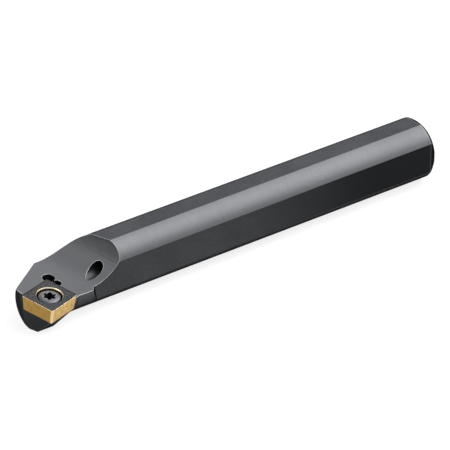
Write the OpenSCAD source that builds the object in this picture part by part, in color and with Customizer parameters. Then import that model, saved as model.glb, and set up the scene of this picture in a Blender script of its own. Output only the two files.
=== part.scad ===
// Indexable boring bar with coolant through the bar: steel bar, square insert, insert screw.
// Millimetres. The centre of the rear face is the origin, the head points along +X,
// the cutting side is +Y, +Z is up and the cutting point lies at Z = 0.

/* [Bar] */

// rear face to the foremost point of the insert
overall_length = 125; // [100:1:200]
// shank diameter
shank_diameter = 16; // [14:0.5:20]
// depth of the flat along the top
top_flat_depth = 0.4; // [0.2:0.05:0.8]
// depth of the flat the bar lies on
bottom_flat_depth = 0.4; // [0.2:0.05:0.8]
// depth of the flat on the cutting side
side_flat_depth = 1; // [0.6:0.1:1.4]
// from the foremost point back to the end of the side flat
side_flat_back = 17.5; // [16.5:0.1:20]
// lean of the end of the side flat, seen from the side
side_flat_lean = 11; // [0:1:20]
// angle at which the side flat runs out, seen from above
side_flat_ramp = 46; // [30:1:60]
// chamfer round the rear face
rear_chamfer = 0.9; // [0.4:0.1:1.5]

/* [Head] */

// bar axis to the cutting point
cutting_offset = 11; // [10:0.1:12.5]
// angle of the leading edge to the bar axis
approach_angle = 75; // [70:1:85]
// fall of the rake face toward the cutting side
rake_tilt = 6.5; // [4:0.5:9]
// front of the head behind the foremost point
front_setback = 0.45; // [0.3:0.05:1]
// front of the head behind the lower edge of the insert
support_setback = 0.15; // [0.1:0.05:0.6]
// forward lean of the head's front under the insert
front_lean = 6; // [0:0.5:7]
// relief of the head's side under the insert
side_relief = 3; // [0:1:8]
// radius of the round head under the insert
head_radius = 9.2; // [8.5:0.1:10]
// head centre moved toward the cutting side
head_shift = 1; // [0.5:0.1:1.6]
// from the foremost point back to where the head is full size
head_full_back = 5.5; // [4:0.5:8]
// half angle of the cone that leads into the head
head_cone_angle = 17; // [12:1:22]
// radius of the front bevel at the front of the head
bevel_radius = 6.75; // [6:0.05:8]
// half angle of the front bevel
bevel_angle = 32.8; // [25:0.2:40]
// bevel centre toward the cutting side
bevel_shift = 5.3; // [4:0.1:6.5]
// bevel centre below the bar axis
bevel_drop = 0.8; // [0:0.1:1.5]

/* [Chip scoop] */

// radius of the scoop
scoop_radius = 12.5; // [10:0.25:15]
// from the foremost point back to the lowest line of the scoop, on the bar axis
scoop_back = 13; // [11:0.25:16]
// lowest line of the scoop above the bar axis
scoop_floor = 0.55; // [0:0.05:1.2]
// turn of the scoop in plan
scoop_turn = 16; // [8:1:22]
// fall of the scoop toward the cutting side
scoop_fall = 8.4; // [6:0.2:10]

/* [Insert] */

// side of the square insert
insert_size = 9.525; // [8:0.005:10]
// thickness of the insert
insert_thickness = 3.97; // [3:0.01:4.5]
// nose radius at each corner
nose_radius = 0.6; // [0.55:0.05:1.2]
// relief angle of the sides
insert_relief = 7; // [5:0.5:7.5]
// bore of the insert
insert_bore = 4.4; // [4.2:0.1:4.8]
// rim of the sunk bore at the top
sink_rim = 6.6; // [6.2:0.1:7.2]
// half angle of the sunk bore
sink_half_angle = 30; // [25:1:35]

/* [Pocket relief] */

// round relief at the inner corner of the pocket
corner_relief_radius = 1.6; // [1.2:0.05:1.8]
// relief centre behind the rear wall of the pocket
corner_relief_back = 1.25; // [0.8:0.05:1.4]
// relief centre past the front wall of the pocket
corner_relief_out = 0.4; // [0:0.05:0.6]
// second round relief on the rear wall
wall_relief_radius = 1.15; // [1:0.05:1.3]
// second relief centre behind the rear wall of the pocket
wall_relief_back = 1.15; // [0.8:0.05:1.2]
// from the corner of the insert to the second relief
wall_relief_along = 2.3; // [2:0.1:2.8]
// relief below the seat of the insert
relief_depth = 0.3; // [0.1:0.05:0.6]

/* [Screw] */

// diameter of the screw head
screw_head_diameter = 5.6; // [5.3:0.1:6]
// rim of the screw head below the top of the insert
screw_sink = 0.5; // [0.4:0.05:0.7]
// middle of the screw head raised above its rim
screw_crown = 0.3; // [0.1:0.05:0.35]
// flat middle of the screw head
crown_diameter = 4; // [3.8:0.1:4.4]
// thread diameter
screw_thread = 3.5; // [3:0.1:4]
// length of the screw over all
screw_length = 7.6; // [6.5:0.1:8]
// six-lobe socket over the lobes
socket_size = 3.3; // [2.8:0.1:3.6]
// depth of the socket
socket_depth = 1.5; // [1:0.1:1.8]
// turn of the socket as tightened
socket_turn = 36; // [0:1:59]
// gap between the thread and its hole, each side
thread_gap = 0.05; // [0.02:0.01:0.1]
// chamfer at the end of the screw
screw_end_chamfer = 0.4; // [0.2:0.1:0.6]

/* [Coolant] */

// tapped inlet in the rear face
inlet_diameter = 8.8; // [7:0.1:10]
// depth of the inlet
inlet_depth = 11; // [8:0.5:16]
// bore along the bar
channel_diameter = 4; // [3:0.1:5]
// outlet in the scoop
outlet_diameter = 3.3; // [2.6:0.1:3.6]
// from the foremost point back to the outlet mouth
outlet_back = 20.4; // [19:0.1:22]
// outlet mouth toward the cutting side
outlet_side = 3.5; // [3:0.1:4.2]
// outlet mouth above the bar axis
outlet_height = 1.6; // [1:0.05:2]
// rise of the outlet bore toward the head
outlet_rise = 4; // [2:1:8]
// turn of the outlet bore toward the cutting side
outlet_turn = 19; // [15:1:25]

/* [Hidden] */

$fn = 96;
// overlap of cutters past the faces they open
past = 1;
// larger than any dimension of the head
far_out = 40;

shank_radius = shank_diameter / 2;
top_flat = shank_radius - top_flat_depth;
bottom_flat = bottom_flat_depth - shank_radius;
side_flat = shank_radius - side_flat_depth;
flat_end = overall_length - side_flat_back;

half_side = insert_size / 2;
corner_centre = half_side - nose_radius;
side_slope = tan(insert_relief);
base_inset = insert_thickness * side_slope;
base_nose = nose_radius - base_inset;
diagonal = corner_centre * sqrt(2);
// turn of the insert's walls, so that its leading edge stands at the approach angle
insert_turn = 90 - approach_angle;

// centre of the insert's top face, from the cutting point and the foremost point
nose_angle = insert_turn + 45;
insert_y = cutting_offset - nose_radius - diagonal * sin(nose_angle) * cos(rake_tilt);
insert_x = overall_length - nose_radius - diagonal * cos(nose_angle - 90);
insert_z = (diagonal * sin(nose_angle) + nose_radius) * sin(rake_tilt);

head_front = overall_length - front_setback;
cone_length = (head_radius - shank_radius + 2 * past) / tan(head_cone_angle);
sink_depth = (sink_rim - insert_bore) / 2 / tan(sink_half_angle);
head_band_depth = (sink_rim - screw_head_diameter) / 2 / tan(sink_half_angle);

// Place parts on the insert: its top face is Z = 0 and its walls run along X and Y,
// with the cutting corner toward +X and +Y.
module on_insert() {
  translate([insert_x, insert_y, insert_z])
    rotate([-rake_tilt, 0, 0])
      rotate([0, 0, insert_turn])
        children();
}

// Round bar lying along X.
module along_x(from, to, radius) {
  translate([from, 0, 0])
    rotate([0, 90, 0])
      cylinder(h = to - from, r = radius);
}

module shank_stock() {
  along_x(rear_chamfer, head_front, shank_radius);
  rotate([0, 90, 0])
    cylinder(h = rear_chamfer, r1 = shank_radius - rear_chamfer, r2 = shank_radius);
}

// Round head under the insert.
module head_stock() {
  full_from = overall_length - head_full_back;
  translate([0, head_shift, 0]) {
    along_x(full_from, head_front, head_radius);
    translate([full_from - cone_length, 0, 0])
      rotate([0, 90, 0])
        cylinder(h = cone_length, r1 = head_radius - cone_length * tan(head_cone_angle), r2 = head_radius);
  }
}

// Everything in front of the bevel cone is cut away by keeping the inside of this cone.
module bevel_envelope() {
  reach = overall_length + past;
  translate([head_front - reach, bevel_shift, -bevel_drop])
    rotate([0, 90, 0])
      cylinder(h = reach, r1 = bevel_radius + reach * tan(bevel_angle), r2 = bevel_radius);
}

// Flats of the shank; the side flat ends at a leaning step behind the head.
module flats() {
  translate([-past, -far_out, top_flat])
    cube([overall_length + 2 * past, 2 * far_out, far_out]);
  translate([-past, -far_out, bottom_flat - far_out])
    cube([overall_length + 2 * past, 2 * far_out, far_out]);
  translate([flat_end, side_flat, 0])
    rotate([0, side_flat_lean, 0])
      linear_extrude(height = 2 * far_out, center = true)
        polygon([
          [-2 * overall_length, 0],
          [0, 0],
          [far_out, far_out * tan(side_flat_ramp)],
          [-2 * overall_length, far_out * tan(side_flat_ramp)]
        ]);
}

// Long round cutter that leaves the chip scoop and runs out flat over the head.
module scoop() {
  translate([overall_length - scoop_back, 0, scoop_floor])
    rotate([0, 0, scoop_turn])
      rotate([-scoop_fall, 0, 0])
        rotate([90, 0, 0])
          linear_extrude(height = 2 * far_out, center = true)
            union() {
              translate([0, scoop_radius])
                circle(r = scoop_radius);
              square([far_out, 2 * scoop_radius]);
            }
}

// Leaning wall of the pocket, kept as the space on the insert's side of it.
module wall_space() {
  low = -insert_thickness;
  rise = past;
  rotate([90, 0, 0])
    linear_extrude(height = 2 * far_out, center = true)
      polygon([
        [-half_side - low * side_slope, low],
        [far_out, low],
        [far_out, rise],
        [-half_side - rise * side_slope, rise]
      ]);
}

module pocket() {
  on_insert() {
    intersection() {
      wall_space();
      rotate([0, 0, 90])
        mirror([0, 1, 0])
          wall_space();
    }
    relief_height = insert_thickness + relief_depth;
    translate([-half_side - corner_relief_back, -half_side - corner_relief_out, -relief_height])
      cylinder(h = relief_height + past, r = corner_relief_radius);
    translate([-half_side - wall_relief_back, wall_relief_along - half_side, -relief_height])
      cylinder(h = relief_height + past, r = wall_relief_radius);
    translate([0, 0, -far_out])
      cylinder(h = far_out, d = screw_thread + 2 * thread_gap);
  }
}

// The head drawn back under the leading edge and the side edge of the insert.
module support_cut() {
  edge = half_side - base_inset - support_setback;
  on_insert() {
    translate([edge, 0, -insert_thickness])
      rotate([0, -front_lean, 0])
        translate([0, -far_out, -far_out])
          cube([far_out, 2 * far_out, 2 * far_out]);
    translate([0, edge, -insert_thickness])
      rotate([-side_relief, 0, 0])
        translate([base_inset - half_side, 0, -far_out])
          cube([far_out, far_out, 2 * far_out]);
  }
}

// Coolant way: tapped inlet, bore along the bar and the slanted outlet.
module coolant() {
  translate([-past, 0, 0])
    rotate([0, 90, 0])
      cylinder(h = past + inlet_depth, d = inlet_diameter);
  mouth = overall_length - outlet_back;
  // where the outlet bore crosses the bar axis, seen from above
  crossing = mouth - outlet_side / tan(outlet_turn);
  translate([mouth, outlet_side, outlet_height])
    rotate([0, 0, outlet_turn])
      rotate([0, 90 - outlet_rise, 0])
        translate([0, 0, -outlet_side / sin(outlet_turn)])
          cylinder(h = 2 * outlet_side / sin(outlet_turn), d = outlet_diameter);
  along_x(0, crossing + channel_diameter / 2, channel_diameter / 2);
}

module bar_body() {
  color([0.36, 0.37, 0.38])
    difference() {
      intersection() {
        union() {
          shank_stock();
          head_stock();
        }
        bevel_envelope();
      }
      flats();
      scoop();
      pocket();
      support_cut();
      coolant();
    }
}

// Square insert with relieved sides and conical corners.
module insert_blank() {
  for (turn = [0, 90])
    rotate([0, 0, turn])
      rotate([90, 0, 0])
        linear_extrude(height = 2 * corner_centre, center = true)
          polygon([
            [-half_side, 0],
            [half_side, 0],
            [half_side - base_inset, -insert_thickness],
            [base_inset - half_side, -insert_thickness]
          ]);
  for (x = [-1, 1], y = [-1, 1])
    translate([x * corner_centre, y * corner_centre, -insert_thickness])
      cylinder(h = insert_thickness, r1 = base_nose, r2 = nose_radius);
}

module indexable_insert() {
  color([0.80, 0.66, 0.36])
    on_insert()
      difference() {
        insert_blank();
        translate([0, 0, -insert_thickness - past])
          cylinder(h = insert_thickness + 2 * past, d = insert_bore);
        translate([0, 0, -sink_depth])
          cylinder(h = sink_depth, r1 = insert_bore / 2, r2 = sink_rim / 2);
      }
}

// Six-lobe socket: a round core with six round lobes.
module socket() {
  lobe = socket_size * 0.13;
  core = socket_size * 0.37;
  translate([0, 0, -screw_sink - socket_depth]) {
    cylinder(h = socket_depth + past, r = core);
    for (i = [0 : 5])
      rotate([0, 0, 60 * i + socket_turn])
        translate([socket_size / 2 - lobe, 0, 0])
          cylinder(h = socket_depth + past, r = lobe);
  }
}

module clamping_screw() {
  head_radius_top = screw_head_diameter / 2;
  thread_radius = screw_thread / 2;
  neck_depth = (sink_rim / 2 - thread_radius) / tan(sink_half_angle);
  end_depth = screw_sink + screw_length;
  color([0.62, 0.63, 0.65])
    on_insert()
      difference() {
        rotate_extrude()
          polygon([
            [0, screw_crown - screw_sink],
            [crown_diameter / 2, screw_crown - screw_sink],
            [head_radius_top, -screw_sink],
            [head_radius_top, -head_band_depth],
            [insert_bore / 2, -sink_depth],
            [thread_radius, -neck_depth],
            [thread_radius, screw_end_chamfer - end_depth],
            [thread_radius - screw_end_chamfer, -end_depth],
            [0, -end_depth]
          ]);
        socket();
      }
}

bar_body();
indexable_insert();
clamping_screw();
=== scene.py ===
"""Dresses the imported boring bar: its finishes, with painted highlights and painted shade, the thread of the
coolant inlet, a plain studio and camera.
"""

import math

import bpy
from mathutils import Matrix, Vector


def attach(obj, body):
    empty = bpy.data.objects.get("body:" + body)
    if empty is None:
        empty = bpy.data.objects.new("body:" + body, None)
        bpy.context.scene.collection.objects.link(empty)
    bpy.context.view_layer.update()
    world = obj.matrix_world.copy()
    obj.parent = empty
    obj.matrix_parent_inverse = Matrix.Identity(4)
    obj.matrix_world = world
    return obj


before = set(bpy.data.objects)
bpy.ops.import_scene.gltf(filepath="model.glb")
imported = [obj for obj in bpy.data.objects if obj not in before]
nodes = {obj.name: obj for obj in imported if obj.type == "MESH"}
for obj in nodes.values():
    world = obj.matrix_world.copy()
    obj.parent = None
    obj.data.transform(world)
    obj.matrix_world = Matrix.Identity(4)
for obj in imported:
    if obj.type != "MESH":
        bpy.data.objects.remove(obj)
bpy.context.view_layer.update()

# Sizes of the part, in metres and degrees. X runs from the rear face to the head, +Y is the cutting side.
MM = 0.001
BAR_LENGTH = 125 * MM
BOTTOM_FLAT = 7.6 * MM
INLET_RADIUS = 4.4 * MM
INLET_DEPTH = 11 * MM
RAKE_TILT = 6.5
INSERT_TURN = 15
INSERT_RELIEF = 7
INSERT_CENTRE = Vector((119.30, 5.33, 0.645)) * MM
INSERT_AXES = Matrix.Rotation(math.radians(-RAKE_TILT), 3, "X") @ Matrix.Rotation(
    math.radians(INSERT_TURN), 3, "Z"
)

FORWARD = Vector((1, 0, 0))
REARWARD = Vector((-1, 0, 0))
CUTTING_SIDE = Vector((0, 1, 0))
UP = Vector((0, 0, 1))
DOWN = Vector((0, 0, -1))

# Sockets of a Mix node that mixes colours, by number, because other sockets of it have the same names
MIX_FACTOR = 0
MIX_FIRST = 6
MIX_SECOND = 7
MIX_RESULT = 2

NOISE_SPREAD = (0.3, 0.7)
EDGE_TURN = (0.01, 0.12)
RAY_SAMPLES = 6


# Node helpers


def start_material(name):
    """A new material with a Principled shader, and its node tree."""
    material = bpy.data.materials.new(name)
    material.use_nodes = True
    tree = material.node_tree
    tree.nodes.clear()
    output = tree.nodes.new("ShaderNodeOutputMaterial")
    shader = tree.nodes.new("ShaderNodeBsdfPrincipled")
    tree.links.new(shader.outputs["BSDF"], output.inputs["Surface"])
    return material, tree, shader


def feed(tree, value, socket):
    """Links a socket, or sets a plain value."""
    if isinstance(value, bpy.types.NodeSocket):
        tree.links.new(value, socket)
    else:
        socket.default_value = value


def calculate(tree, operation, *values):
    """A Math node."""
    node = tree.nodes.new("ShaderNodeMath")
    node.operation = operation
    for socket, value in zip(node.inputs, values):
        feed(tree, value, socket)
    return node.outputs[0]


def multiply(tree, first, second):
    return calculate(tree, "MULTIPLY", first, second)


def larger(tree, first, second):
    return calculate(tree, "MAXIMUM", first, second)


def rescale(tree, value, low, high, to_low=0.0, to_high=1.0):
    """Goes smoothly from to_low to to_high as the value goes from low to high, which may be the smaller."""
    node = tree.nodes.new("ShaderNodeMapRange")
    node.interpolation_type = "SMOOTHSTEP"
    feed(tree, value, node.inputs["Value"])
    node.inputs["From Min"].default_value = low
    node.inputs["From Max"].default_value = high
    node.inputs["To Min"].default_value = to_low
    node.inputs["To Max"].default_value = to_high
    return node.outputs["Result"]


def object_place(tree):
    """The place on the object, in metres in the row frame."""
    return tree.nodes.new("ShaderNodeTexCoord").outputs["Object"]


def insert_place(tree):
    """The place on the insert: its top face is Z = 0 and its walls run along X and Y."""
    node = tree.nodes.new("ShaderNodeMapping")
    node.vector_type = "TEXTURE"
    feed(tree, object_place(tree), node.inputs["Vector"])
    node.inputs["Location"].default_value = INSERT_CENTRE
    node.inputs["Rotation"].default_value = INSERT_AXES.to_euler("XYZ")
    return node.outputs["Vector"]


def coordinates(tree, place):
    """The X, Y and Z of a place."""
    node = tree.nodes.new("ShaderNodeSeparateXYZ")
    feed(tree, place, node.inputs[0])
    return node.outputs


def stretch(tree, vector, scale):
    """Coordinates multiplied along each axis."""
    node = tree.nodes.new("ShaderNodeMapping")
    feed(tree, vector, node.inputs["Vector"])
    node.inputs["Scale"].default_value = scale
    return node.outputs["Vector"]


def distance_from_axis(tree, place, across):
    """How far a place lies from an axis. The axes across it are 1 in the last argument, its own is 0."""
    node = tree.nodes.new("ShaderNodeVectorMath")
    node.operation = "LENGTH"
    feed(tree, stretch(tree, place, across), node.inputs[0])
    return node.outputs["Value"]


def noise(tree, vector, scale, detail=3.0, roughness=0.5):
    """Noise that stays about inside NOISE_SPREAD."""
    node = tree.nodes.new("ShaderNodeTexNoise")
    feed(tree, vector, node.inputs["Vector"])
    node.inputs["Scale"].default_value = scale
    node.inputs["Detail"].default_value = detail
    node.inputs["Roughness"].default_value = roughness
    return node.outputs["Fac"]


def mix_colours(tree, factor, first, second):
    """Goes from the first colour to the second as the factor rises from 0 to 1."""
    node = tree.nodes.new("ShaderNodeMix")
    node.data_type = "RGBA"
    feed(tree, factor, node.inputs[MIX_FACTOR])
    feed(tree, first, node.inputs[MIX_FIRST])
    feed(tree, second, node.inputs[MIX_SECOND])
    return node.outputs[MIX_RESULT]


def colour(red, green, blue):
    return (red, green, blue, 1.0)


def true_normal(tree):
    return tree.nodes.new("ShaderNodeNewGeometry").outputs["True Normal"]


def facing(tree, direction):
    """How far the surface faces a direction of the row frame, from -1 to 1."""
    node = tree.nodes.new("ShaderNodeVectorMath")
    node.operation = "DOT_PRODUCT"
    feed(tree, true_normal(tree), node.inputs[0])
    feed(tree, direction, node.inputs[1])
    return node.outputs["Value"]


def rounded_normal(tree, radius):
    """The normal with its edges rounded."""
    node = tree.nodes.new("ShaderNodeBevel")
    node.samples = RAY_SAMPLES
    node.inputs["Radius"].default_value = radius
    return node.outputs["Normal"]


def edge_mask(tree, radius):
    """1 on a sharp edge, falling to 0 one radius away from it."""
    turn = calculate(tree, "SUBTRACT", 1.0, facing(tree, rounded_normal(tree, radius)))
    return rescale(tree, turn, *EDGE_TURN)


def openness(tree, reach):
    """0 deep in a gap and 1 in the open, judged over a short reach."""
    node = tree.nodes.new("ShaderNodeAmbientOcclusion")
    node.samples = RAY_SAMPLES
    node.inputs["Distance"].default_value = reach
    return node.outputs["AO"]


def add_bump(tree, shader, height, distance, radius):
    """Fine relief on the shader, over rounded edges."""
    node = tree.nodes.new("ShaderNodeBump")
    node.inputs["Strength"].default_value = 1.0
    node.inputs["Distance"].default_value = distance
    feed(tree, height, node.inputs["Height"])
    feed(tree, rounded_normal(tree, radius), node.inputs["Normal"])
    feed(tree, node.outputs["Normal"], shader.inputs["Normal"])


# Blackened steel of the bar

BAR_DARK = colour(0.070, 0.072, 0.076)
BAR_LIGHT = colour(0.086, 0.088, 0.094)
BAR_MARK = colour(0.119, 0.122, 0.130)
BAR_SHADE = colour(0.040, 0.041, 0.043)
BAR_GROUND_AND_HIGHLIGHT = colour(0.126, 0.129, 0.136)
SCOOP_REAR = colour(0.118, 0.121, 0.127)
SCOOP_FRONT = colour(0.113, 0.116, 0.123)
BAR_PAINTED_DEEP_SHADE = colour(0.012, 0.0125, 0.013)
BAR_WORN_AND_HIGHLIGHT = colour(0.60, 0.61, 0.63)
BAR_PAINTED_SHADE = colour(0.006, 0.006, 0.006)
BAR_GRAZING = colour(0.10, 0.10, 0.105)
BAR_ROUGHNESS = (0.44, 0.52)
BAR_RELIEF = 0.006 * MM
BAR_ROUNDING = 0.15 * MM
BAR_GAP_REACH = 0.6 * MM
BAR_GAP_OPENNESS = (0.25, 0.75)

# Grain of the bar: noise scales, and how far each one shows
SHANK_MARKS = 5200
SHANK_MARKS_STRETCH = (1.0, 0.06, 0.06)
HEAD_MARKS = 4200
HEAD_MARKS_SPAN = (103.5 * MM, 106.5 * MM)
BAR_CLOUDS = 90
BAR_GRAIN = 2600
BAR_GRAIN_STRETCH = (1.0, 0.5, 0.5)
MARK_SPREAD = (0.35, 0.7)
MARK_SHARE = 0.3
GRAIN_SPREAD = (0.65, 0.3)
GRAIN_SHARE = 0.35

# Where the skin of the bar changes, and where highlight and shade are painted on it: spans along a direction,
# how far a face turns, and the share that shows
GROUND_RADIUS = (7.7 * MM, 7.9 * MM)
GROUND_END = (107.2 * MM, 107.0 * MM)
GROUND_SHARE = 0.5
OFF_FLATS = (0.98, 0.96)
SCOOP_FACING = (0.3, 0.5)
SCOOP_HEIGHT = (7.4 * MM, 7.0 * MM)
SCOOP_START = (98.5 * MM, 99.5 * MM)
SCOOP_SPAN = (100 * MM, 116 * MM)
HEAD_SIDE_START = (107.8 * MM, 108.2 * MM)
HEAD_SIDE_FACING = (0.7, 0.85)
HEAD_SIDE_SHARE = 0.45
SIDE_FLAT_FACING = (0.99, 0.999)
SIDE_FLAT_END = (108.2 * MM, 107.8 * MM)
SIDE_FLAT_SPAN = (76 * MM, 15 * MM)
SIDE_FLAT_SHARES = (0.28, 0.87)
FRONT_FACING = (0.5, 0.8)
FRONT_SHARE = 0.72
REAR_FACING = (0.5, 0.65)
REAR_SHARE = 0.75
REAR_CHAMFER = (1.12 * MM, 1.02 * MM)
BELOW_FACING = (0.5, 0.7)
BELOW_SHARE = 0.68

# Where edges are worn bright and carry a painted highlight
WORN_REACH = 0.2 * MM
WORN_SPAN = (95 * MM, 103 * MM)
WORN_ON_SHANK = 0.1
WORN_HEIGHT = (-3 * MM, -1 * MM)
WORN_LOW_DOWN = 0.15
WORN_PATCHES = 600
WORN_SPREAD = (0.3, 0.6)
WORN_LEAST = 0.6
REAR_RING_START = (1.10 * MM, 1.22 * MM)
REAR_RING_END = (1.5 * MM, 1.4 * MM)
REAR_RING_SHARE = 0.07

# Where creases and edges get painted shade
STEP_FOOT = 107.5 * MM
STEP_LEAN = math.tan(math.radians(11))
STEP_CREASE = (0.28 * MM, 0.1 * MM)
STEP_OUTSIDE = (7.8 * MM, 7.4 * MM)
STEP_INSIDE = (4.5 * MM, 5.5 * MM)
STEP_FACING_UP = (0.35, 0.2)
SEAT_RIM = (5.12 * MM, 5.00 * MM)
SEAT_RIM_HEIGHT = (-0.9 * MM, -0.7 * MM)
FAR_EDGE_ACROSS = (-3.5 * MM, -5 * MM)
FAR_EDGE_END = (118 * MM, 116 * MM)
FAR_EDGE_SHARE = 0.85
SIDE_EDGE_HEIGHT = 3.87 * MM
SIDE_EDGE_REACH = (0.16 * MM, 0.08 * MM)
SIDE_EDGE_ACROSS = (6.7 * MM, 6.9 * MM)
SIDE_EDGE_SPAN = (60 * MM, 25 * MM)
SIDE_EDGE_SHARE = 0.85


def bar_marks(tree, place, along):
    """Grinding marks run round the shank; the cutter's marks on the head are finer and mottled."""
    round_place = stretch(tree, place, SHANK_MARKS_STRETCH)
    round_marks = noise(tree, round_place, SHANK_MARKS, detail=3.0, roughness=0.6)
    head_marks = noise(tree, place, HEAD_MARKS, detail=3.0, roughness=0.65)
    return mix_colours(tree, rescale(tree, along, *HEAD_MARKS_SPAN), round_marks, head_marks)


def bar_skin(tree, place, marks):
    """The colour of the steel where no edge has worn, with a painted highlight on the round and painted shade
    on the side flat, the end faces and below.
    """
    along, _, height = coordinates(tree, place)
    clouds = noise(tree, place, BAR_CLOUDS, detail=4.0, roughness=0.55)
    tone = mix_colours(tree, rescale(tree, clouds, *NOISE_SPREAD), BAR_DARK, BAR_LIGHT)
    tone = mix_colours(tree, rescale(tree, marks, *MARK_SPREAD, to_high=MARK_SHARE), tone, BAR_MARK)
    grain = noise(tree, stretch(tree, place, BAR_GRAIN_STRETCH), BAR_GRAIN, detail=2.0, roughness=0.6)
    tone = mix_colours(tree, rescale(tree, grain, *GRAIN_SPREAD, to_high=GRAIN_SHARE), tone, BAR_SHADE)

    # the round of the shank is ground after blackening, which leaves it lighter and more even than the flats;
    # part of that lighter colour is a painted highlight
    from_axis = distance_from_axis(tree, place, (0.0, 1.0, 1.0))
    ground_and_highlight = rescale(tree, from_axis, *GROUND_RADIUS, to_high=GROUND_SHARE)
    for direction in (UP, CUTTING_SIDE, DOWN):
        ground_and_highlight = multiply(tree, ground_and_highlight, rescale(tree, facing(tree, direction), *OFF_FLATS))
    ground_and_highlight = multiply(tree, ground_and_highlight, rescale(tree, along, *GROUND_END))
    tone = mix_colours(tree, ground_and_highlight, tone, BAR_GROUND_AND_HIGHLIGHT)

    # the scoop is milled through the black skin too
    scooped = rescale(tree, facing(tree, UP), *SCOOP_FACING)
    scooped = multiply(tree, scooped, rescale(tree, height, *SCOOP_HEIGHT))
    scooped = multiply(tree, scooped, rescale(tree, along, *SCOOP_START))
    scoop_tone = mix_colours(tree, rescale(tree, along, *SCOOP_SPAN), SCOOP_REAR, SCOOP_FRONT)
    tone = mix_colours(tree, scooped, tone, scoop_tone)

    # so is the side of the head ahead of the step
    head_side = rescale(tree, facing(tree, CUTTING_SIDE), *HEAD_SIDE_FACING, to_high=HEAD_SIDE_SHARE)
    head_side = multiply(tree, head_side, rescale(tree, along, *HEAD_SIDE_START))
    tone = mix_colours(tree, head_side, tone, SCOOP_REAR)

    # painted shade: the side flat darkens toward the rear, and both end faces, the rear chamfer and the
    # underside are painted dark
    painted_shade = multiply(
        tree,
        rescale(tree, facing(tree, CUTTING_SIDE), *SIDE_FLAT_FACING),
        rescale(tree, along, *SIDE_FLAT_END),
    )
    painted_shade = multiply(tree, painted_shade, rescale(tree, along, *SIDE_FLAT_SPAN, *SIDE_FLAT_SHARES))
    painted_shade = larger(tree, painted_shade, rescale(tree, facing(tree, FORWARD), *FRONT_FACING, to_high=FRONT_SHARE))
    painted_shade = larger(tree, painted_shade, rescale(tree, facing(tree, REARWARD), *REAR_FACING, to_high=REAR_SHARE))
    painted_shade = larger(tree, painted_shade, rescale(tree, facing(tree, DOWN), *BELOW_FACING, to_high=BELOW_SHARE))
    painted_shade = larger(tree, painted_shade, rescale(tree, along, *REAR_CHAMFER))
    return mix_colours(tree, painted_shade, tone, BAR_PAINTED_DEEP_SHADE)


def bar_wear_and_highlight(tree, place, edges):
    """1 where an edge is worn bright and carries a painted highlight: mostly on the milled head, and only a
    little on the shank.
    """
    along, _, height = coordinates(tree, place)
    wear_and_highlight = multiply(tree, edges, rescale(tree, along, *WORN_SPAN, to_low=WORN_ON_SHANK))
    wear_and_highlight = multiply(tree, wear_and_highlight, rescale(tree, height, *WORN_HEIGHT, to_low=WORN_LOW_DOWN))
    patches = noise(tree, place, WORN_PATCHES)
    wear_and_highlight = multiply(tree, wear_and_highlight, rescale(tree, patches, *WORN_SPREAD, to_low=WORN_LEAST))

    # a faint painted highlight runs round the shank ahead of the rear chamfer
    ring = multiply(tree, rescale(tree, along, *REAR_RING_START), rescale(tree, along, *REAR_RING_END))
    return larger(tree, wear_and_highlight, multiply(tree, ring, REAR_RING_SHARE))


def bar_crease_shade(tree, place):
    """1 where shade is painted: at the foot of the step in the side flat, and round the rim of the pocket where
    the insert lies.
    """
    along, across, height = coordinates(tree, place)
    foot = calculate(tree, "MULTIPLY_ADD", height, STEP_LEAN, STEP_FOOT)
    away = calculate(tree, "ABSOLUTE", calculate(tree, "SUBTRACT", along, foot))
    crease = multiply(tree, rescale(tree, away, *STEP_CREASE), rescale(tree, across, *STEP_OUTSIDE))
    crease = multiply(tree, crease, rescale(tree, across, *STEP_INSIDE))
    crease = multiply(tree, crease, rescale(tree, facing(tree, UP), *STEP_FACING_UP))

    front, side, depth = coordinates(tree, insert_place(tree))
    reach = larger(tree, calculate(tree, "ABSOLUTE", front), calculate(tree, "ABSOLUTE", side))
    rim = multiply(tree, rescale(tree, reach, *SEAT_RIM), rescale(tree, depth, *SEAT_RIM_HEIGHT))
    return larger(tree, crease, rim)


def bar_painted_dark_edges(tree, place, edges):
    """1 on the edges that get a painted dark line, painted shade along the bar's outline."""
    along, across, height = coordinates(tree, place)

    # those on the far side of the bar
    far = multiply(tree, edges, rescale(tree, across, *FAR_EDGE_ACROSS, to_high=FAR_EDGE_SHARE))
    far = multiply(tree, far, rescale(tree, along, *FAR_EDGE_END))

    # the one between the round and the side flat, over the rear half
    away = calculate(tree, "ABSOLUTE", calculate(tree, "SUBTRACT", height, SIDE_EDGE_HEIGHT))
    near = multiply(tree, rescale(tree, away, *SIDE_EDGE_REACH), rescale(tree, across, *SIDE_EDGE_ACROSS))
    near = multiply(tree, near, rescale(tree, along, *SIDE_EDGE_SPAN, to_high=SIDE_EDGE_SHARE))
    return larger(tree, far, near)


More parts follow.
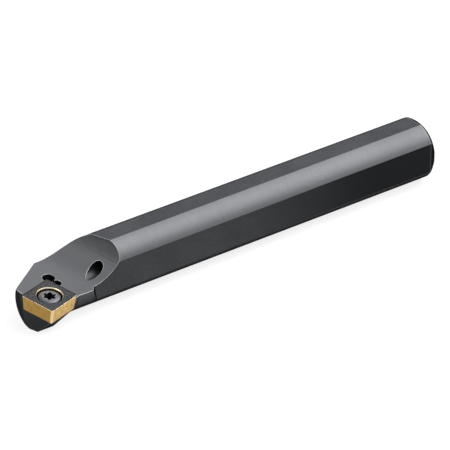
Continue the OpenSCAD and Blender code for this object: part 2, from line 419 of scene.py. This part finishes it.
def bar_steel():
    material, tree, shader = start_material("blackened_bar_steel")
    place = object_place(tree)
    marks = bar_marks(tree, place, coordinates(tree, place)[0])
    edges = edge_mask(tree, WORN_REACH)
    crease_shade = bar_crease_shade(tree, place)
    wear_and_highlight = multiply(tree, bar_wear_and_highlight(tree, place, edges), calculate(tree, "SUBTRACT", 1.0, crease_shade))
    # the creases and the dark edges get painted shade
    dark = larger(tree, crease_shade, bar_painted_dark_edges(tree, place, edges))

    tone = mix_colours(tree, wear_and_highlight, bar_skin(tree, place, marks), BAR_WORN_AND_HIGHLIGHT)
    tone = mix_colours(tree, dark, tone, BAR_PAINTED_SHADE)
    # painted shade in gaps and hollows, judged by how open the place is
    in_open = rescale(tree, openness(tree, BAR_GAP_REACH), *BAR_GAP_OPENNESS)
    tone = mix_colours(tree, in_open, BAR_PAINTED_SHADE, tone)
    feed(tree, tone, shader.inputs["Base Color"])
    shader.inputs["Metallic"].default_value = 1.0
    shader.inputs["Specular Tint"].default_value = BAR_GRAZING
    feed(tree, rescale(tree, marks, *NOISE_SPREAD, *BAR_ROUGHNESS), shader.inputs["Roughness"])
    add_bump(tree, shader, marks, BAR_RELIEF, BAR_ROUNDING)
    return material


# Coated carbide of the insert

TOP_DARK = colour(0.002, 0.002, 0.002)
TOP_LIGHT = colour(0.040, 0.041, 0.0445)
TOP_FACING = (0.97, 0.99)
TOP_METAL = 0.88
TOP_SPECKLE = 2300
TOP_SPREAD = (0.36, 0.62)
GOLD_DEEP = colour(0.27, 0.145, 0.028)
GOLD_FRONT_SHADED = colour(0.37, 0.230, 0.055)
GOLD_SIDE_LIT = colour(0.71, 0.475, 0.167)
GOLD_PAINTED_HIGHLIGHT = colour(0.93, 0.82, 0.60)
GOLD_CORNER_HIGHLIGHT = colour(0.92, 0.73, 0.42)
GOLD_PAINTED_SHADE = colour(0.012, 0.008, 0.004)
GOLD_SIDE_FACING = (0.3, 0.95)
GOLD_STREAKS = 1300
GOLD_STREAKS_STRETCH = (1.0, 1.0, 0.5)
GOLD_STREAKS_SPREAD = (0.4, 0.65)
GOLD_STREAKS_SHARE = 0.5
GOLD_GRAIN = 4200
GOLD_GRAIN_SHARE = 0.35
GOLD_ROUGHNESS = (0.36, 0.5)
GOLD_RELIEF = 0.012 * MM
GOLD_ROUNDING = 0.1 * MM
GOLD_GAP_REACH = 0.5 * MM
GOLD_GAP_OPENNESS = (0.15, 0.6)
CORNER_PLACE = (8.98 * MM, 9.12 * MM)
CORNER_SHARE = 0.6
BORE_RADIUS = (3.45 * MM, 3.35 * MM)
BORE_DEPTH = (-0.1 * MM, -0.34 * MM)
BORE_PALE_SHARE = 0.85
HONED_REACH = 0.14 * MM
OPEN_SIDES = (4.4 * MM, 4.6 * MM)
POCKET_SIDES = (-4.32 * MM, -4.52 * MM)


def gold_layer(tree, place, grain):
    """The gold layer that all faces but the top one show, with lit and shaded copies of it on the two flanks, a
    painted highlight on the corner and painted highlight and shade in the bore.
    """
    front, side, height = coordinates(tree, place)
    # the flank on the cutting side is painted lighter and the front flank darker, lit and shaded copies of one
    # gold
    faces_side = rescale(tree, facing(tree, INSERT_AXES @ CUTTING_SIDE), *GOLD_SIDE_FACING)
    gold = mix_colours(tree, faces_side, GOLD_FRONT_SHADED, GOLD_SIDE_LIT)
    streaks = noise(tree, stretch(tree, place, GOLD_STREAKS_STRETCH), GOLD_STREAKS, detail=3.0, roughness=0.6)
    streaks = rescale(tree, streaks, *GOLD_STREAKS_SPREAD, to_high=GOLD_STREAKS_SHARE)
    gold = mix_colours(tree, streaks, gold, GOLD_DEEP)
    gold = mix_colours(tree, rescale(tree, grain, *NOISE_SPREAD, to_high=GOLD_GRAIN_SHARE), gold, GOLD_DEEP)

    # the rounded cutting corner carries a painted highlight over its whole height
    lean = -2 * math.tan(math.radians(INSERT_RELIEF))
    corner = calculate(tree, "MULTIPLY_ADD", height, lean, calculate(tree, "ADD", front, side))
    gold = mix_colours(tree, rescale(tree, corner, *CORNER_PLACE, to_high=CORNER_SHARE), gold, GOLD_CORNER_HIGHLIGHT)

    # the sunk bore has a painted highlight at its rim and painted shade down at the screw
    in_bore = rescale(tree, distance_from_axis(tree, place, (1.0, 1.0, 0.0)), *BORE_RADIUS)
    gold = mix_colours(tree, multiply(tree, in_bore, BORE_PALE_SHARE), gold, GOLD_PAINTED_HIGHLIGHT)
    return mix_colours(tree, multiply(tree, in_bore, rescale(tree, height, *BORE_DEPTH)), gold, GOLD_PAINTED_SHADE)


def insert_coating():
    material, tree, shader = start_material("coated_carbide")
    place = insert_place(tree)
    front, side, _ = coordinates(tree, place)
    grain = noise(tree, place, GOLD_GRAIN, detail=4.0, roughness=0.75)

    # the top face carries a dark layer
    on_top = rescale(tree, facing(tree, INSERT_AXES @ UP), *TOP_FACING)
    speckle = noise(tree, place, TOP_SPECKLE, detail=2.0, roughness=0.6)
    dark = mix_colours(tree, rescale(tree, speckle, *TOP_SPREAD), TOP_DARK, TOP_LIGHT)
    body = mix_colours(tree, on_top, gold_layer(tree, place, grain), dark)

    # the honed edges of the two open sides carry a painted highlight; on the top face, those in the pocket
    # carry painted shade
    edges = edge_mask(tree, HONED_REACH)
    edge_highlight = multiply(tree, edges, rescale(tree, larger(tree, front, side), *OPEN_SIDES))
    pocket_shade = rescale(tree, calculate(tree, "MINIMUM", front, side), *POCKET_SIDES)
    pocket_shade = multiply(tree, on_top, pocket_shade)
    body = mix_colours(tree, pocket_shade, body, GOLD_PAINTED_SHADE)
    body = mix_colours(tree, edge_highlight, body, GOLD_PAINTED_HIGHLIGHT)
    # painted shade in gaps and hollows, judged by how open the place is
    in_open = rescale(tree, openness(tree, GOLD_GAP_REACH), *GOLD_GAP_OPENNESS)
    feed(tree, mix_colours(tree, in_open, GOLD_PAINTED_SHADE, body), shader.inputs["Base Color"])

    # the dark layer is a little less metallic than the gold one and the edges
    dark_layer = calculate(tree, "SUBTRACT", on_top, larger(tree, edges, pocket_shade))
    metal = rescale(tree, dark_layer, low=0.0, high=1.0, to_low=1.0, to_high=TOP_METAL)
    feed(tree, metal, shader.inputs["Metallic"])
    feed(tree, rescale(tree, grain, *NOISE_SPREAD, *GOLD_ROUGHNESS), shader.inputs["Roughness"])
    add_bump(tree, shader, grain, GOLD_RELIEF, GOLD_ROUNDING)
    return material


# Steel of the screw

SCREW_DARK = colour(0.072, 0.073, 0.079)
SCREW_LIGHT = colour(0.137, 0.139, 0.148)
SCREW_EDGE_HIGHLIGHT = colour(0.34, 0.34, 0.357)
SCREW_PAINTED_SHADE = colour(0.008, 0.008, 0.009)
SCREW_RINGS = 9000
SCREW_GRAIN = 3800
SCREW_GRAIN_SHARE = 0.5
SCREW_SPREAD = (0.35, 0.65)
SCREW_ROUGHNESS = (0.38, 0.5)
SCREW_RELIEF = 0.006 * MM
SCREW_ROUNDING = 0.1 * MM
SCREW_RIM_REACH = 0.14 * MM
SCREW_OUTER_RING = (2.55 * MM, 2.68 * MM)
SCREW_GAP_REACH = 1.2 * MM
SCREW_GAP_OPENNESS = (0.3, 0.8)


def screw_finish():
    material, tree, shader = start_material("bright_screw_steel")
    place = insert_place(tree)
    radius = distance_from_axis(tree, place, (1.0, 1.0, 0.0))

    # turning marks run round the head
    rings = tree.nodes.new("ShaderNodeTexNoise")
    rings.noise_dimensions = "1D"
    feed(tree, radius, rings.inputs["W"])
    rings.inputs["Scale"].default_value = SCREW_RINGS
    grain = noise(tree, place, SCREW_GRAIN, detail=3.0, roughness=0.6)
    marks = mix_colours(tree, SCREW_GRAIN_SHARE, rings.outputs["Fac"], grain)

    # its edges carry a painted highlight, and its outermost ring and its socket carry painted shade
    tone = mix_colours(tree, rescale(tree, marks, *SCREW_SPREAD), SCREW_DARK, SCREW_LIGHT)
    tone = mix_colours(tree, edge_mask(tree, SCREW_RIM_REACH), tone, SCREW_EDGE_HIGHLIGHT)
    tone = mix_colours(tree, rescale(tree, radius, *SCREW_OUTER_RING), tone, SCREW_PAINTED_SHADE)
    # painted shade in the socket and round the head, judged by how open the place is
    in_open = rescale(tree, openness(tree, SCREW_GAP_REACH), *SCREW_GAP_OPENNESS)
    feed(tree, mix_colours(tree, in_open, SCREW_PAINTED_SHADE, tone), shader.inputs["Base Color"])
    shader.inputs["Metallic"].default_value = 1.0
    feed(tree, rescale(tree, marks, *SCREW_SPREAD, *SCREW_ROUGHNESS), shader.inputs["Roughness"])
    add_bump(tree, shader, marks, SCREW_RELIEF, SCREW_ROUNDING)
    return material


def dress(piece, material):
    """Gives a piece one material on all its faces."""
    piece.data.materials.clear()
    piece.data.materials.append(material)


steel = bar_steel()
dress(nodes["bar_body"], steel)
dress(nodes["indexable_insert"], insert_coating())
dress(nodes["clamping_screw"], screw_finish())


# Thread of the coolant inlet

THREAD_PITCH = 0.907 * MM
THREAD_HEIGHT = 0.5 * MM
THREAD_OVERLAP = 0.02 * MM
THREAD_FOOT = 0.44 * THREAD_PITCH
THREAD_CREST = 0.07 * THREAD_PITCH
THREAD_TURNS = (INLET_DEPTH - 2 * THREAD_PITCH) / THREAD_PITCH
STEPS_A_TURN = 40
RUN_OUT_STEPS = 0.5 * STEPS_A_TURN


def inlet_thread():
    """A helical ridge with a blunt crest, its foot a little way into the wall of the inlet."""
    root = INLET_RADIUS + THREAD_OVERLAP
    crest = INLET_RADIUS - THREAD_HEIGHT
    start = Matrix.Translation((THREAD_PITCH, 0, 0)) @ Matrix.Rotation(math.radians(90), 4, "Y")
    count = int(STEPS_A_TURN * THREAD_TURNS)
    vertices = []
    faces = []
    for step in range(count + 1):
        angle = 2 * math.pi * step / STEPS_A_TURN
        # the first and last half turn run out into the wall
        fade = min(1.0, step / RUN_OUT_STEPS, (count - step) / RUN_OUT_STEPS)
        ridge = root + (crest - root) * fade
        level = THREAD_PITCH * step / STEPS_A_TURN
        section = (
            (root, -THREAD_FOOT),
            (ridge, -THREAD_CREST),
            (ridge, THREAD_CREST),
            (root, THREAD_FOOT),
        )
        for radius, rise in section:
            corner = Vector((radius * math.cos(angle), radius * math.sin(angle), level + rise))
            vertices.append(start @ corner)
        if step:
            new = len(section) * step
            old = new - len(section)
            for side in range(len(section)):
                after = (side + 1) % len(section)
                faces.append([new + side, new + after, old + after, old + side])
    mesh = bpy.data.meshes.new("inlet_thread")
    mesh.from_pydata(vertices, [], faces)
    mesh.update()
    piece = bpy.data.objects.new("inlet_thread", mesh)
    bpy.context.scene.collection.objects.link(piece)
    dress(piece, steel)
    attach(piece, "root")


inlet_thread()


# Studio

FLOOR_REACH = 4.0
FLOOR_COLOUR = colour(0.8, 0.8, 0.8)
FLOOR_SEEN_COLOUR = colour(0.24, 0.24, 0.24)
FLOOR_SEEN_GLOW = 0.83
WORLD_LIGHT = 0.35
WORLD_SEEN = 1.0


def seen_directly(tree):
    """1 for the camera's own rays and for those that come off metal or through glass."""
    path = tree.nodes.new("ShaderNodeLightPath")
    first = larger(tree, path.outputs["Is Camera Ray"], path.outputs["Is Glossy Ray"])
    return larger(tree, first, path.outputs["Is Transmission Ray"])


def floor_material():
    """Pale floor that looks white to the camera and in reflections, and keeps the shadow."""
    material = bpy.data.materials.new("pale_floor")
    material.use_nodes = True
    tree = material.node_tree
    tree.nodes.clear()
    output = tree.nodes.new("ShaderNodeOutputMaterial")
    plain = tree.nodes.new("ShaderNodeBsdfDiffuse")
    shaded = tree.nodes.new("ShaderNodeBsdfDiffuse")
    glow = tree.nodes.new("ShaderNodeEmission")
    seen = tree.nodes.new("ShaderNodeAddShader")
    choose = tree.nodes.new("ShaderNodeMixShader")
    plain.inputs["Color"].default_value = FLOOR_COLOUR
    shaded.inputs["Color"].default_value = FLOOR_SEEN_COLOUR
    glow.inputs["Strength"].default_value = FLOOR_SEEN_GLOW
    tree.links.new(shaded.outputs[0], seen.inputs[0])
    tree.links.new(glow.outputs[0], seen.inputs[1])
    tree.links.new(seen_directly(tree), choose.inputs[0])
    tree.links.new(plain.outputs[0], choose.inputs[1])
    tree.links.new(seen.outputs[0], choose.inputs[2])
    tree.links.new(choose.outputs[0], output.inputs["Surface"])
    return material


floor_mesh = bpy.data.meshes.new("floor")
floor_corners = [(-1, -1), (1, -1), (1, 1), (-1, 1)]
floor_mesh.from_pydata(
    [(FLOOR_REACH * x, FLOOR_REACH * y, -BOTTOM_FLAT) for x, y in floor_corners],
    [],
    [(0, 1, 2, 3)],
)
floor = bpy.data.objects.new("floor", floor_mesh)
bpy.context.scene.collection.objects.link(floor)
dress(floor, floor_material())

world = bpy.data.worlds.new("studio")
world.use_nodes = True
world_tree = world.node_tree
backdrop = world_tree.nodes["Background"]
strength = rescale(
    world_tree,
    seen_directly(world_tree),
    low=0.0,
    high=1.0,
    to_low=WORLD_LIGHT,
    to_high=WORLD_SEEN,
)
backdrop.inputs["Color"].default_value = colour(1.0, 1.0, 1.0)
world_tree.links.new(strength, backdrop.inputs["Strength"])
bpy.context.scene.world = world

# Lamps: the way to each from the middle of the bar, its width in metres, and its radiance
LAMP_DISTANCE = 1.0
LAMPS = {
    "key": ((-0.543, 0.19, 0.81), 1.05, 4.4),
    "rim": ((-0.543, -0.683, 0.488), 0.5, 2.5),
    "fill": ((0.85, -0.13, 0.49), 0.7, 2.6),
}


def soft_lamp(name, direction, width, radiance):
    """A round soft lamp that faces the middle of the bar."""
    data = bpy.data.lights.new(name, "AREA")
    data.shape = "DISK"
    data.size = width
    area = math.pi / 4 * width * width
    data.energy = radiance * math.pi * area
    lamp = bpy.data.objects.new(name, data)
    outward = Vector(direction).normalized()
    lamp.location = Vector((BAR_LENGTH / 2, 0, 0)) + outward * LAMP_DISTANCE
    lamp.rotation_mode = "QUATERNION"
    lamp.rotation_quaternion = outward.to_track_quat("Z", "Y")
    lamp.visible_camera = False
    bpy.context.scene.collection.objects.link(lamp)


for lamp_name, (lamp_direction, lamp_width, lamp_radiance) in LAMPS.items():
    soft_lamp(lamp_name, lamp_direction, lamp_width, lamp_radiance)


# Camera at the photograph's angle

CAMERA_SENSOR = 36
CAMERA_LENS = 339.743
CAMERA_PLACE = Vector((0.63061, 0.71555, 0.50887))
CAMERA_RIGHT = Vector((-0.7861, 0.6180, 0.0094))
CAMERA_UP = Vector((-0.2951, -0.3886, 0.8729))
CAMERA_FORWARD = Vector((-0.5431, -0.6834, -0.4879))

camera_data = bpy.data.cameras.new("camera")
camera_data.sensor_width = CAMERA_SENSOR
camera_data.lens = CAMERA_LENS
camera = bpy.data.objects.new("camera", camera_data)
turn = Matrix((CAMERA_RIGHT, CAMERA_UP, -CAMERA_FORWARD)).transposed().to_4x4()
camera.matrix_world = Matrix.Translation(CAMERA_PLACE) @ turn
bpy.context.scene.collection.objects.link(camera)
bpy.context.scene.camera = camera
bpy.context.scene.view_settings.view_transform = "Standard"

bpy.context.view_layer.update()
